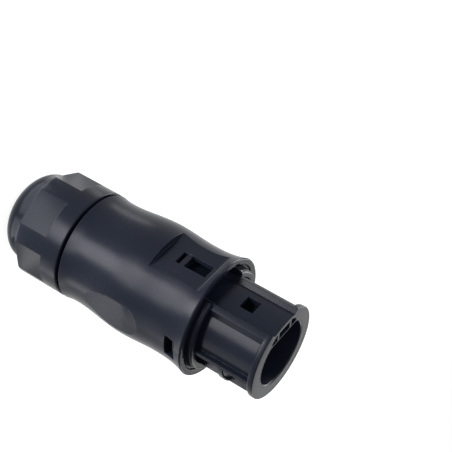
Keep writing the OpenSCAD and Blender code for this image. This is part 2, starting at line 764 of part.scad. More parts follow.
cap_nut();
clamp_cage();
cable_seal();
shell();
contact_carrier();
core_seal();
terminal_block();
wire_guide();
at_contact(LINE) contact();  // contact_line
at_contact(NEUTRAL) contact();  // contact_neutral
at_contact(EARTH) contact();  // contact_earth
at_contact(LINE) spring_collar();  // collar_line
at_contact(NEUTRAL) spring_collar();  // collar_neutral
at_contact(EARTH) spring_collar();  // collar_earth
at_contact(LINE) clamp_leaf();  // leaf_line
at_contact(NEUTRAL) clamp_leaf();  // leaf_neutral
at_contact(EARTH) clamp_leaf();  // leaf_earth
at_contact(LINE) terminal_screw();  // screw_line
at_contact(NEUTRAL) terminal_screw();  // screw_neutral
at_contact(EARTH) terminal_screw();  // screw_earth
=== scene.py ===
# %% [markdown]
# # A microinverter AC connector
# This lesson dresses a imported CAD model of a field-wired connector. The CAD part stands on its
# cap nut with +Z along its axis, so every piece here is a turned or carved shape about Z.
# The outside is four mouldings: a gland nut, a waisted shell, a contact carrier whose nose
# carries the key deck, and a block with three insulating tubes. The first three are modelled
# again here with finer roundings and details. The block and the small inner pieces keep their
# CAD shape and only get new finishes.

# %% Load the frame
import math

import bmesh
import bpy
from mathutils import Euler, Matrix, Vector


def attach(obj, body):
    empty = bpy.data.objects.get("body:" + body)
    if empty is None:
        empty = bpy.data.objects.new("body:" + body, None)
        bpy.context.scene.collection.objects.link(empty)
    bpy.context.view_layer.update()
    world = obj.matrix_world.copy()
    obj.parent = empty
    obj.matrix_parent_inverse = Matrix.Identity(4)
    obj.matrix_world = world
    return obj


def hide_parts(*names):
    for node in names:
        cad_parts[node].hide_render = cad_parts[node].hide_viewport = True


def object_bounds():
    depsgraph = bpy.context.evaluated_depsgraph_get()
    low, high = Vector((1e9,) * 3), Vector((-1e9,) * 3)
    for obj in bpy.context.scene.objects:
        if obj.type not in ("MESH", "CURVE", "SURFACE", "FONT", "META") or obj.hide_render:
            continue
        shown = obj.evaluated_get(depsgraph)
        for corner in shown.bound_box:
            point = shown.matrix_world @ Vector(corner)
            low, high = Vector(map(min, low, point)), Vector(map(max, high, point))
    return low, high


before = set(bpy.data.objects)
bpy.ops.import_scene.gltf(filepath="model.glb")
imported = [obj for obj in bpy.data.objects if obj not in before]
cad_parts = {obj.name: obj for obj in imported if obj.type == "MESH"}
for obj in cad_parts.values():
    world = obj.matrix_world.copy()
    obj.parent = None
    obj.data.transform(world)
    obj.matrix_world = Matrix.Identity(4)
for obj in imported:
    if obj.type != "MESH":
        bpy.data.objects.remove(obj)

MM = 0.001
cad_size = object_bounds()

# %% [markdown]
# ## Small helpers
# Blender's operators act on whatever is selected, and the imported CAD nodes arrive selected.
# So every helper first clears the selection, works on one new object, and hands it back. Faces
# and edges are picked by a test on their place, which keeps working when a shape changes.

# %% Selecting and naming
def choose(piece):
    """Makes a piece the only selected one."""
    for thing in list(bpy.context.selected_objects):
        thing.select_set(False)
    piece.select_set(True)
    bpy.context.view_layer.objects.active = piece
    return piece


def new_piece(name):
    """Names the object that the last operator added."""
    piece = bpy.context.active_object
    piece.name = name
    piece.data.name = name
    return piece


def tell(piece):
    print(piece.name + ":", len(piece.data.polygons), "faces")


# %% Editing a mesh
WELD = 2e-6  # metres: points closer than this are one point


def edit(piece):
    """Opens a piece in edit mode with all of it selected."""
    choose(piece)
    bpy.ops.object.mode_set(mode="EDIT")
    bpy.ops.mesh.select_mode(type="VERT")
    bpy.ops.mesh.select_all(action="SELECT")


def leave_edit():
    bpy.ops.object.mode_set(mode="OBJECT")


def settle(piece):
    """Puts the object's place into its mesh and turns every face outwards."""
    choose(piece)
    bpy.ops.object.transform_apply(location=True, rotation=True, scale=True)
    edit(piece)
    bpy.ops.mesh.remove_doubles(threshold=WELD)
    bpy.ops.mesh.normals_make_consistent(inside=False)
    leave_edit()
    return piece


def select_faces(piece, wanted):
    """In edit mode, selects the faces whose centre and normal pass the test."""
    mesh = bmesh.from_edit_mesh(piece.data)
    bpy.ops.mesh.select_all(action="DESELECT")
    bpy.ops.mesh.select_mode(type="FACE")
    for face in mesh.faces:
        face.select = wanted(face.calc_center_median() / MM, face.normal)
    mesh.select_flush_mode()
    bmesh.update_edit_mesh(piece.data)


def select_edges_above(piece, height):
    """In edit mode, selects the edges with both ends above a height in millimetres."""
    mesh = bmesh.from_edit_mesh(piece.data)
    bpy.ops.mesh.select_all(action="DESELECT")
    bpy.ops.mesh.select_mode(type="EDGE")
    for edge in mesh.edges:
        edge.select = all(end.co.z / MM > height for end in edge.verts)
    mesh.select_flush_mode()
    bmesh.update_edit_mesh(piece.data)


def push(*step):
    """In edit mode, extrudes what is selected by a step in millimetres."""
    bpy.ops.mesh.extrude_region_move(TRANSFORM_OT_translate={"value": Vector(step) * MM})


# %% [markdown]
# ## Four ways to start a shape
# A moulded connector is mostly turned forms and straight prisms. `lathe` draws half an outline
# point by point and spins it, `slab` fills a flat outline and extrudes it (a `prism` is an
# upright slab), and `block` and `drum` are a cube and a cylinder at their real size. Cutters get
# extra cuts where they leave a wide flat on a curved wall, so that shading stays even there.

# %% Outlines
def draw_line(points):
    """One vertex, extruded from point to point: the start of a turned form or a prism."""
    bpy.ops.mesh.primitive_plane_add(size=MM)
    edit(bpy.context.active_object)
    bpy.ops.mesh.merge(type="CENTER")
    bpy.ops.transform.translate(value=Vector(points[0]) * MM)
    for here, there in zip(points, points[1:]):
        push(*(Vector(there) - Vector(here)))
    bpy.ops.mesh.select_all(action="SELECT")


def fill_outline(points):
    """Closes a line through the points and fills it with one face."""
    draw_line(points + points[:1])
    bpy.ops.mesh.remove_doubles(threshold=WELD)
    bpy.ops.mesh.select_all(action="SELECT")
    bpy.ops.mesh.edge_face_add()


def arc(centre_r, centre_z, radius, start, end, count=5):
    """Points of a rounding, for an outline."""
    angles = [math.radians(start + (end - start) * i / count) for i in range(count + 1)]
    return [(centre_r + radius * math.cos(a), centre_z + radius * math.sin(a)) for a in angles]


# %% Starting shapes
def lathe(name, outline, steps=240):
    """Spins (radius, height) points about Z. A closed outline ends where it starts."""
    draw_line([(r, 0, z) for r, z in outline])
    bpy.ops.mesh.spin(steps=steps, angle=2 * math.pi, center=(0, 0, 0), axis=(0, 0, 1))
    leave_edit()
    return settle(new_piece(name))


def slab(name, outline, step):
    """Fills a flat outline of (x, y, z) points and extrudes it by a step."""
    fill_outline(outline)
    push(*step)
    leave_edit()
    return settle(new_piece(name))


def prism(name, outline, low, high):
    """An upright prism on (x, y) points between two heights."""
    return slab(name, [(x, y, low) for x, y in outline], (0, 0, high - low))


def block(name, low, high, cuts=0):
    """A box between two corners, its faces subdivided if a number of cuts is given."""
    low, high = Vector(low) * MM, Vector(high) * MM
    bpy.ops.mesh.primitive_cube_add(size=1, location=(low + high) / 2, scale=high - low)
    piece = settle(new_piece(name))
    if cuts:
        edit(piece)
        bpy.ops.mesh.subdivide(number_cuts=cuts)
        leave_edit()
    return piece


def drum(name, radius, centre, length, turn=(0, 0, 0), vertices=240):
    bpy.ops.mesh.primitive_cylinder_add(
        vertices=vertices, radius=radius * MM, depth=length * MM,
        location=Vector(centre) * MM, rotation=turn)
    return settle(new_piece(name))


# %% [markdown]
# ## Copies, joins and cuts
# A mould repeats its features, so a window or a rib is modelled once and copied, each copy with
# its own mesh. Copies are joined on or cut out with a Boolean modifier that is applied at once.
# The Manifold solver suits closed forms like these: it is quick and leaves no stray faces.

# %% Copies
def turned(piece, degrees):
    """Turns a piece about the connector's axis."""
    choose(piece)
    piece.rotation_euler = (0, 0, math.radians(degrees))
    bpy.ops.object.transform_apply(location=False, rotation=True, scale=False)
    return piece


def twin(piece, degrees=None):
    """A copy with its own mesh: mirrored to the other side, or turned about the axis."""
    choose(piece)
    bpy.ops.object.duplicate(linked=False)
    copy = bpy.context.active_object
    if degrees is None:
        copy.scale = (-1, 1, 1)
        return settle(copy)
    return turned(copy, degrees)


# %% Joins and cuts
def counts(mesh):
    return len(mesh.vertices), len(mesh.edges), len(mesh.polygons)


def combine(piece, other, operation):
    choose(piece)
    tool = piece.modifiers.new("tool", "BOOLEAN")
    tool.operation = operation
    tool.solver = "MANIFOLD"
    tool.object = other
    before = counts(piece.data)
    bpy.ops.object.modifier_apply(modifier=tool.name)
    if counts(piece.data) == before:
        print("no change:", piece.name, operation, other.name)
    bpy.data.objects.remove(other, do_unlink=True)
    return piece


def carve(piece, *cutters):
    for cutter in cutters:
        combine(piece, cutter, "DIFFERENCE")
    return piece


def grow(piece, *additions):
    for addition in additions:
        combine(piece, addition, "UNION")
    return piece


def smooth(piece, degrees=24):
    """Shades a piece smooth, apart from edges sharper than the angle."""
    choose(piece)
    bpy.ops.object.shade_smooth_by_angle(angle=math.radians(degrees))
    return piece


# %% [markdown]
# ## The camera
# The photograph was taken from a little above the key side, close to the part, with the
# connector lying across the frame. The part stands here, so the camera is rolled instead.

# %% Camera
EYE = Vector((0.17138, -0.23589, 0.17664))
EYE_TURN = (-49.019, -54.775, -174.857)
MIDDLE = Vector((0, 0, 0.045))
bpy.ops.object.camera_add(location=EYE)
camera = bpy.context.active_object
camera.rotation_euler = Euler([math.radians(a) for a in EYE_TURN])
camera.data.sensor_width = 36
camera.data.lens = 90.53
camera.data.clip_start = 0.01
bpy.context.scene.camera = camera
print("camera:", round((EYE - MIDDLE).length / MM), "mm from the part's middle")

# %% [markdown]
# ## Sizes shared by the pieces
# All sizes are millimetres, and heights are measured from the end of the nut. The overall
# length and the widest radius come from the frame, and the rest repeat the CAD's own sizes,
# apart from a few small ones that the photograph shows a little larger: the windows, the
# pads' slight tilt and the wide lip of the ring behind the sleeve.

# %% Sizes
FACE = round(cad_size[1][2] / MM, 2)
RIM_R = round(cad_size[1][0] / MM, 2)
NUT_R = 16.5
NECK_R = 13.3
CLEAR = 22  # a radius outside every wall, where cutters end
print("connector:", FACE, "mm long,", 2 * RIM_R, "mm across")

# %% [markdown]
# ## The shell
# The shell is a tube that swells towards the hand, narrows again and flares into a thick rim.
# It could be a cylinder pushed about with proportional editing, but a formula for the radius
# gives a clean curve. The outline is spun in one go, inside and outside.

# %% Shell outline
SHELL_REAR, SHELL_LONG, RIM = 25.3, 43, 68.8
WAIST_R, RIDGE_R, NARROW_R = 16.0, 17.3, 16.65
WAIST, RIDGE, NARROW = 4.3, 20.5, 32.7  # where these radii are, from the shell's rear end
RINGS = 84


def swell(share):
    """Goes from 0 to 1 and is level at both ends."""
    return (1 - math.cos(math.pi * share)) / 2


def shell_radius(z):
    """The shell's radius at a distance from its rear end."""
    if z < WAIST:
        return NUT_R - (NUT_R - WAIST_R) * (1 - (1 - z / WAIST) ** 2)
    if z < RIDGE:
        return WAIST_R + (RIDGE_R - WAIST_R) * swell((z - WAIST) / (RIDGE - WAIST))
    if z < NARROW:
        return RIDGE_R - (RIDGE_R - NARROW_R) * swell((z - RIDGE) / (NARROW - RIDGE))
    flare = min((z - NARROW) / (SHELL_LONG - NARROW), 1)
    return NARROW_R + (RIM_R - NARROW_R) * flare ** 2.6


steps_along = [SHELL_LONG * i / RINGS for i in range(1, RINGS + 1)]
outside = [(NUT_R - 0.25, SHELL_REAR), (NUT_R - 0.05, SHELL_REAR + 0.18)]
outside += [(shell_radius(z), SHELL_REAR + z) for z in steps_along]
print("shell radii:", [round(r, 1) for r, z in outside[::14]])

# %% Shell: rim, bore and neck
rim_edge = arc(RIM_R - 0.5, RIM - 0.5, 0.5, 0, 90)[1:]
rim_step = [(16.35, RIM), (16.1, RIM - 0.25), (16.1, RIM - 0.9), (15.5, RIM - 1.1)]
bore = [(15.5, 66.6), (13.9, 66.6), (13.9, 48.0), (13.2, 47.3), (13.2, 27.0), (9.0, 27.0),
        (9.0, 23.5), (11.6, 23.5)]
neck = [(11.6, 15.7), (12.0, 15.3), (12.9, 15.3), (NECK_R, 15.7), (NECK_R, SHELL_REAR)]
shell = lathe("shell_skin", outside + rim_edge + rim_step + bore + neck + outside[:1], steps=256)
tell(shell)

# %% [markdown]
# ## Pads, grips and windows of the shell
# Two flat pads lie along the key and opposite it, and curve outwards just behind the rim. A
# bare cube would leave a hard step there, so the cutter is a grid whose front edge is extruded
# in small steps that follow the curve. The side flats give the fingers a grip and end in a half
# circle: a cube joined to a lying cylinder cuts both in one go.

# %% Flat pads on the key side and opposite
PAD_Y, PAD_WIDE, PAD_REAR, PAD_LONG = 15.3, 20, 50.4, 14.9
PAD_TILT, PAD_DEPTH = 1.1, 6
RAMP_STEP = 0.5
RAMP = (0.06, 0.2, 0.36, 0.5, 0.62, 0.7, 0.76)  # how far each step up goes out
bpy.ops.mesh.primitive_grid_add(x_subdivisions=40, y_subdivisions=32, size=1)
pad = new_piece("pad_cutter")
pad.scale = (PAD_WIDE * MM, PAD_LONG * MM, 1)
pad.rotation_euler = (math.radians(90 + PAD_TILT), 0, 0)
pad.location = (0, -PAD_Y * MM, (PAD_REAR + PAD_LONG / 2) * MM)
settle(pad)
edit(pad)
select_edges_above(pad, PAD_REAR + PAD_LONG - 0.02)
for out in RAMP:
    push(0, -out, RAMP_STEP)
bpy.ops.mesh.select_all(action="SELECT")
push(0, -PAD_DEPTH, 0)
leave_edit()
settle(pad)
back_pad = twin(pad, 180)
tell(carve(shell, pad, back_pad))

# %% Grip flats with a round front end
GRIP_X, GRIP_HALF, GRIP_REAR, GRIP_FRONT = 16.3, 5.8, 29.6, 47.5
grip = block("grip_cutter", (GRIP_X, -GRIP_HALF, GRIP_REAR), (CLEAR, GRIP_HALF, GRIP_FRONT), cuts=15)
grip_end = drum("grip_end", GRIP_HALF, ((GRIP_X + CLEAR) / 2, 0, GRIP_FRONT), CLEAR - GRIP_X,
                turn=(0, math.radians(90), 0), vertices=128)
grow(grip, grip_end)
tell(carve(shell, twin(grip), grip))

# %% Windows
WINDOW_X, SIDE_WINDOW_Y = 2.3, 3.7
key_window = block("key_window", (-WINDOW_X, -20, 57.7), (WINDOW_X, -8, 64.9))
bar_slot = block("bar_slot", (-WINDOW_X, -20, 55.0), (WINDOW_X, -8, 56.2))
bar_top = block("bar_top", (-WINDOW_X, -20, 56.1), (WINDOW_X, -PAD_Y + 0.3, 57.8))
side_window = block("side_window", (8, -SIDE_WINDOW_Y, 62.6), (CLEAR, SIDE_WINDOW_Y, 66.2))
tell(carve(shell, key_window, bar_slot, bar_top, twin(side_window), side_window))

# %% [markdown]
# ## Notches and tabs in the rim
# Five small notches are let into the rim's inner edge. They differ only in width, so each is a
# box turned about the axis to its place. A little raised tab with a round mark stands in each of
# the two at the sides, and a bevel on its top edges catches the light.

# %% Notches in the rim
NOTCHES = {-88: 3.3, -26.5: 2.4, 26.5: 2.4, 88: 3.3, 180: 2.9}  # degrees from the key: width
for angle, width in NOTCHES.items():
    notch = block("rim_notch", (15.0, -width / 2, RIM - 1.2), (16.75, width / 2, RIM + 3))
    carve(shell, turned(notch, angle - 90))
tell(shell)

# %% Marked tabs in the two side notches
TAB_HALF, TAB_TOP = 1.45, 68.25
for angle in (2, 178):
    tab = block("rim_tab", (15.45, -TAB_HALF, 67.0), (16.9, TAB_HALF, TAB_TOP))
    edit(tab)
    select_edges_above(tab, TAB_TOP - 0.05)
    bpy.ops.mesh.bevel(offset=0.18 * MM, segments=2)
    leave_edit()
    bpy.ops.mesh.primitive_torus_add(major_radius=0.42 * MM, minor_radius=0.11 * MM,
                                     major_segments=32, minor_segments=8,
                                     location=Vector((16.18, 0, TAB_TOP + 0.01)) * MM)
    grow(tab, settle(new_piece("ring_mark")))
    grow(shell, turned(tab, angle))
tell(smooth(shell))

# %% [markdown]
# ## The neck's thread
# The nut runs on a coarse thread. It is one ridge that climbs around the neck, so a single
# trapezium is drawn and the Screw modifier turns and lifts it. The ridge's foot lies a little
# inside the neck, so no gap shows between the two.

# %% Neck thread
PITCH, TURNS = 2, 3.9
ROOT_R, CREST_R = NECK_R - 0.1, 13.95
fill_outline([(ROOT_R, 0, 15.8), (CREST_R, 0, 16.25), (CREST_R, 0, 16.65), (ROOT_R, 0, 17.1)])
leave_edit()
thread = new_piece("neck_thread")
helix = thread.modifiers.new("helix", "SCREW")
helix.axis = "Z"
helix.angle = math.radians(360 * TURNS)
helix.screw_offset = PITCH * TURNS * MM
helix.steps = helix.render_steps = 400
choose(thread)
bpy.ops.object.modifier_apply(modifier=helix.name)
settle(thread)
tell(smooth(thread, 30))

# %% [markdown]
# ## The cap nut
# The nut is a bullet-shaped dome that ends in a small ledge, then six wrench flats, then a round
# collar. The dome's outline is a quarter of an ellipse; the flats are six cubes taken off the
# turned form, so they leave narrow rounded bands between them.

# %% Cap nut: turned body
NUT_TOP, LEDGE = 24.3, 9.0
DOME_R, DOME_WIDE, END_R = 13.6, 5.9, 8.55
DOME_STEPS, COLLAR_STEPS = 28, 24
dome_half = DOME_WIDE / math.sqrt(1 - (END_R / DOME_R) ** 2)


def dome_radius(z):
    """The dome's radius at a height below its widest place."""
    return DOME_R * math.sqrt(1 - ((DOME_WIDE - z) / dome_half) ** 2)


dome_heights = [DOME_WIDE * i / DOME_STEPS for i in range(DOME_STEPS + 1)]
dome = [(dome_radius(z), z) for z in dome_heights]
ledge = arc(DOME_R + 0.2, LEDGE - 0.2, 0.2, 180, 90, 3)
ledge += arc(NUT_R - 0.25, LEDGE + 0.25, 0.25, -90, 0, 4)
collar_rear, collar_long = LEDGE + 0.25, NUT_TOP - 0.35 - (LEDGE + 0.25)
collar = [(NUT_R, collar_rear + collar_long * i / COLLAR_STEPS) for i in range(1, COLLAR_STEPS + 1)]
collar += arc(NUT_R - 0.35, NUT_TOP - 0.35, 0.35, 0, 90)[1:]
inner = [(14.4, NUT_TOP), (14.05, NUT_TOP - 0.4), (14.05, 11.5), (11.6, 11.5), (11.6, 7.2),
         (9.45, 2.2), (7.4, 2.2), (7.4, 0.3), (7.7, 0)]
nut = lathe("nut_skin", dome + ledge + collar + inner + dome[:1], steps=256)
tell(nut)

# %% Cap nut: wrench flats
FLAT_X, FLAT_REAR, FLAT_FRONT = 15.53, 8.5, 18.65
FLAT_TURN = 1.7
for side in range(6):
    flat = block("flat_cutter", (FLAT_X, -11, FLAT_REAR), (CLEAR, 11, FLAT_FRONT), cuts=19)
    carve(nut, turned(flat, FLAT_TURN + 60 * side))
tell(smooth(nut))

# %% [markdown]
# ## The nose of the contact carrier
# The carrier is turned first: skirt, ring with its trough, sleeve and flange. Then the recesses
# between the ribs are cut, and ribs, hoops and rails are joined on. Each starts as a box or a
# prism that is too long and keeps only what lies inside a drum, so its outer face is round.

# %% Carrier: turned body
SKIRT_REAR, SKIRT_R, BORE_R = 50.2, 13.7, 11.4
RING_REAR, RING_TOP, RING_R, LIP_R = 66.6, 70.6, 15.2, 13.3
SLEEVE_REAR, SLEEVE_FRONT, SLEEVE_R = 68.2, 86.9, 12.2
FLANGE_REAR, FLANGE_R, CAVITY_FLOOR = 87.2, 14.0, 63.0
skirt = [(BORE_R, SKIRT_REAR), (SKIRT_R, SKIRT_REAR), (SKIRT_R, 51.4), (12.4, 51.4),
         (12.4, 53.6), (SKIRT_R, 53.6), (SKIRT_R, RING_REAR)]
ring = [(RING_R - 0.2, RING_REAR), (RING_R, RING_REAR + 0.2)]
ring += arc(RING_R - 0.9, RING_TOP - 0.9, 0.9, 0, 90, 9)
ring += arc(LIP_R + 0.2, RING_TOP - 0.2, 0.2, 90, 180, 4)
trough = [(LIP_R, SLEEVE_REAR + 0.2), (LIP_R - 0.2, SLEEVE_REAR), (SLEEVE_R + 0.2, SLEEVE_REAR)]
sleeve = [(SLEEVE_R, SLEEVE_REAR + 0.2), (SLEEVE_R, SLEEVE_FRONT)]
sleeve += arc(SLEEVE_R + 0.3, SLEEVE_FRONT, 0.3, 180, 90, 4)[1:]
flange = arc(FLANGE_R - 0.6, FLANGE_REAR + 0.6, 0.6, -90, 0, 7)
flange += arc(FLANGE_R - 0.3, FACE - 0.3, 0.3, 0, 90, 5)
core = [(6.0, FACE), (6.0, CAVITY_FLOOR), (BORE_R, CAVITY_FLOOR)]
carrier = lathe("carrier_skin", skirt + ring + trough + sleeve + flange + core + skirt[:1])
tell(carrier)

# %% Carrier: recesses beside the sleeve and the gap in the ring
THIN_RIB = 34  # degrees from +X
RAIL_X = 7.15


def within(piece, radius):
    """Keeps only what lies inside a radius."""
    return combine(piece, drum("limit", radius, (0, 0, 75), 60), "INTERSECT")


slope = math.tan(math.radians(THIN_RIB))
recess = prism("recess", [(6, 1), (18, 1), (18, 18 * slope), (6, 6 * slope)],
               SLEEVE_REAR, SLEEVE_FRONT)
within(recess, LIP_R)
carve(recess, drum("recess_floor", SLEEVE_R - 0.8, (0, 0, 78), 30))
ring_gap = block("ring_gap", (-RAIL_X, -16, 65), (RAIL_X, -8, 74))
carve(ring_gap, drum("ring_core", SLEEVE_R - 0.02, (0, 0, 70), 30))
carve(ring_gap, drum("skirt_core", SKIRT_R, (0, 0, 61.6), 10))
tell(carve(carrier, twin(recess), recess, ring_gap))

# %% Carrier: ribs, hoops, rails and gusset
RIB_R, RIB_TOP = 13.7, 87.3
HOOP_REAR, HOOP_FRONT = 77.9, 79.3
rib = within(block("rib", (9.9, -0.2, SLEEVE_REAR), (14, 1, RIB_TOP)), RIB_R)
thin_rib = within(block("thin_rib", (9.9, -0.4, SLEEVE_REAR), (14, 0.4, RIB_TOP)), RIB_R - 0.4)
turned(thin_rib, THIN_RIB)
hoop = lathe("hoop", [(RIB_R - 0.6, HOOP_REAR), (RIB_R, HOOP_REAR), (RIB_R, HOOP_FRONT),
                      (RIB_R - 0.6, HOOP_FRONT), (RIB_R - 0.6, HOOP_REAR)])
hoop_span = prism("hoop_span", [(0, 0.4), (20, 0.4), (20, 20), (11.5, 20)], 70, 90)
combine(hoop, hoop_span, "INTERSECT")
rail = within(prism("rail", [(3.75, -10.2), (3.75, -14.5), (RAIL_X, -14.5), (7.75, -9.2),
                             (RAIL_X, -8.5)], RING_REAR, RIB_TOP), RIB_R)
gusset = slab("gusset", [(-1.6, 11.2, 83.8), (-1.6, 12.2, 83.8), (-1.6, RIB_R, 86.6),
                         (-1.6, RIB_R, RIB_TOP), (-1.6, 11.2, RIB_TOP)], (3.2, 0, 0))
for part in (rib, thin_rib, hoop, rail):
    grow(carrier, twin(part), part)
tell(grow(carrier, gusset))

# %% [markdown]
# ## The mouth of the carrier
# The mating plug enters a D-shaped cavity with the key deck along its flat. Its outline is drawn
# as arcs and extruded, and the last steps widen towards the face, which rounds the mouth without
# a bevel on a carved edge. The key notch, the pockets and the latch hole are carved last, so
# that they pass cleanly through sleeve, rails and flange.

# %% Carrier: the D-shaped cavity with its rounded mouth
CAVITY_R, CAVITY_FLAT, CAVITY_ROUND = 9.6, 7.5, 2.8
MOUTH = ((0.12, 1.004), (0.12, 1.011), (0.11, 1.021), (2.0, 1.0))  # step up, then widening


def cavity_outline(wider=0):
    """A circle with a flat on the key side, the corners between the two rounded."""
    corner_y = CAVITY_ROUND - CAVITY_FLAT
    corner_x = math.sqrt((CAVITY_R - CAVITY_ROUND) ** 2 - corner_y ** 2)
    meet = math.degrees(math.atan2(corner_y, corner_x))
    right = arc(corner_x, corner_y, CAVITY_ROUND + wider, -90, meet, 9)
    around = arc(0, 0, CAVITY_R + wider, meet, 180 - meet, 110)[1:-1]
    left = [(-x, y) for x, y in reversed(right)]
    return right + around + left


groove = prism("groove", cavity_outline(0.74), FACE - 0.05, FACE + 1)
carve(groove, prism("groove_core", cavity_outline(0.66), FACE - 1, FACE + 2))
carve(carrier, groove)
cavity = prism("cavity", cavity_outline(), CAVITY_FLOOR, FACE - 0.35)
edit(cavity)
select_faces(cavity, lambda place, normal: normal.z > 0.9)
for up, spread in MOUTH:
    push(0, 0, up)
    bpy.ops.transform.resize(value=(spread, spread, 1), center_override=(0, 0, FACE * MM))
leave_edit()
settle(cavity)
tell(carve(carrier, cavity))

# %% Carrier: key notch
DECK_ARCH, DECK_HALF, DECK_TOP, NOTCH_HALF = 20, 4.75, 11.9, 6.2
DECK_STEPS = 24


def deck_height(x):
    """The slightly arched deck's distance from the axis."""
    return DECK_TOP - DECK_ARCH + math.sqrt(DECK_ARCH ** 2 - x ** 2)


across = [DECK_HALF * (2 * i / DECK_STEPS - 1) for i in range(DECK_STEPS + 1)]
deck = [(x, -deck_height(x)) for x in across]
deck_edge = deck_height(DECK_HALF)
splay = (NOTCH_HALF - DECK_HALF) / (math.sqrt(FLANGE_R ** 2 - NOTCH_HALF ** 2) - deck_edge)
walls = [(DECK_HALF + 5 * splay, -deck_edge - 5), (-DECK_HALF - 5 * splay, -deck_edge - 5)]
tell(carve(carrier, prism("notch", deck + walls, 54.5, 95)))

# %% Carrier: pockets and latch hole
POCKET_FLOOR, POCKET_NEAR, POCKET_FAR = 73.1, -8.1, -10.6
pocket = block("pocket", (-2.5, POCKET_FAR, POCKET_FLOOR), (2.5, POCKET_NEAR, 95))
side_pocket = prism("side_pocket", [(3.25, POCKET_NEAR), (5.25, POCKET_NEAR), (5.9, -8.5),
                                    (5.9, -8.8), (5.5, -9.35), (3.75, POCKET_FAR),
                                    (3.25, POCKET_FAR)], POCKET_FLOOR, 95)
latch_hole = block("latch_hole", (-2.2, -20, 76.1), (2.2, -9.35, 80.3))
tell(carve(carrier, pocket, twin(side_pocket), side_pocket, latch_hole))

# %% Carrier: latch hooks, seen through the side windows
HOOK_HALF = 3.2
hook_side = [(12.7, 65.9), (15.6, 65.9), (15.6, 64.5), (13.75, 63.5), (12.7, 63.5)]
hook = slab("hook", [(x, -HOOK_HALF, z) for x, z in hook_side], (0, 2 * HOOK_HALF, 0))
grow(carrier, twin(hook), hook)
tell(smooth(carrier))

# %% [markdown]
# ## Shader maths
# Shader maths is written as Python expressions: a Wire wraps one socket, and arithmetic on it
# adds Math nodes. A Finish is one material. Its `node` method adds any other node, settings
# first and sockets after, and `feed` fills the Principled BSDF.

# %% Shader expressions
def plug(slot, value):
    """Links a wire to a socket, or sets the socket's own value."""
    if isinstance(value, Wire):
        value.tree.links.new(value.socket, slot)
    else:
        slot.default_value = value


class Wire:
    """An output socket that can be added, subtracted and multiplied."""
    def __init__(self, tree, socket):
        self.tree, self.socket = tree, socket

    def maths(self, operation, *values):
        node = self.tree.nodes.new("ShaderNodeMath")
        node.operation = operation
        for slot, value in zip(node.inputs, values):
            plug(slot, value)
        return Wire(self.tree, node.outputs[0])

    def __add__(self, other):
        return self.maths("ADD", self, other)

    def __radd__(self, other):
        return self.maths("ADD", other, self)

    def __sub__(self, other):
        return self.maths("SUBTRACT", self, other)

    def __rsub__(self, other):
        return self.maths("SUBTRACT", other, self)

    def __mul__(self, other):
        return self.maths("MULTIPLY", self, other)

    def __rmul__(self, other):
        return self.maths("MULTIPLY", other, self)


# %% Materials as objects
class Finish:
    """A material. A socket is named with _ for a space, or by its number, as _0."""
    def __init__(self, name):
        self.material = bpy.data.materials.new(name)
        self.material.use_nodes = True
        self.tree = self.material.node_tree
        self.shader = self.tree.nodes["Principled BSDF"]
        self.place = self.node("ShaderNodeTexCoord", output="Object")
        print("finish:", name)

    def node(self, kind, output=0, settings=None, **sockets):
        node = self.tree.nodes.new(kind)
        for key, value in (settings or {}).items():
            setattr(node, key, value)
        for key, value in sockets.items():
            plug(node.inputs[int(key[1:]) if key[0] == "_" else key.replace("_", " ")], value)
        return Wire(self.tree, node.outputs[output])

    def noise(self, scale, detail=2.0):
        return self.node("ShaderNodeTexNoise", Vector=self.place, Scale=scale, Detail=detail)

    def mix(self, factor, dark, light):
        return self.node("ShaderNodeMix", output=2, settings={"data_type": "RGBA"},
                         Factor=factor, _6=dark, _7=light)

    def feed(self, **sockets):
        for key, value in sockets.items():
            plug(self.shader.inputs[key.replace("_", " ")], value)
        return self.material


# %% [markdown]
# ## Moulded plastic and rubber
# Every plastic here is glass-filled nylon: very dark, faintly blue, with a satin skin that took
# the fine spark-eroded grain of its mould. An image of wear would need unwrapping, so the edges
# are worked out instead: where the Bevel node bends the normal away from the flat face there is
# an edge, and its colour is painted lighter, partly as wear from hands and partly as a painted
# highlight along the rounding. Noise clouds the colour and the gloss.

# %% Satin moulding
def moulded(name, colour, rough=0.26, grain=0.25, edge=0.2, wear_and_sheen=0.5):
    """Dark moulded nylon or rubber: fine grain, soft clouding, and edges lightened partly as wear,
    partly as a painted highlight.
    """
    skin = Finish(name)
    cloud = skin.noise(60, 3)
    speck = skin.noise(900)
    fine = skin.noise(5200)
    soft_edge = skin.node("ShaderNodeBevel", settings={"samples": 6}, Radius=edge * MM)
    flat = skin.node("ShaderNodeNewGeometry", output="Normal")
    along = skin.node("ShaderNodeVectorMath", output=1, settings={"operation": "DOT_PRODUCT"},
                      _0=soft_edge, _1=flat)
    # Painted highlight with wear: where the bevelled normal turns away from the face, the colour is
    # made lighter.
    rub_and_edge_sheen = skin.node("ShaderNodeMapRange", Value=1 - along, From_Min=0.01, From_Max=0.16,
                    To_Min=0.0, To_Max=wear_and_sheen)
    rubbed_and_sheen_colour = [3.2 * c + 0.006 for c in colour]
    base = skin.mix(rub_and_edge_sheen, (*colour, 1), (*rubbed_and_sheen_colour, 1))
    shade = skin.node("ShaderNodeHueSaturation", Color=base, Value=0.82 + 0.36 * cloud)
    bump = skin.node("ShaderNodeBump", Height=fine + 0.3 * speck, Strength=grain,
                     Distance=0.02 * MM, Normal=soft_edge)
    skin.feed(Specular_IOR_Level=0.09, Specular_Tint=(0.97, 0.95, 1.0, 1))
    return skin.feed(Base_Color=shade, Roughness=rough - 0.05 + 0.08 * cloud + 0.03 * speck,
                     Normal=bump)


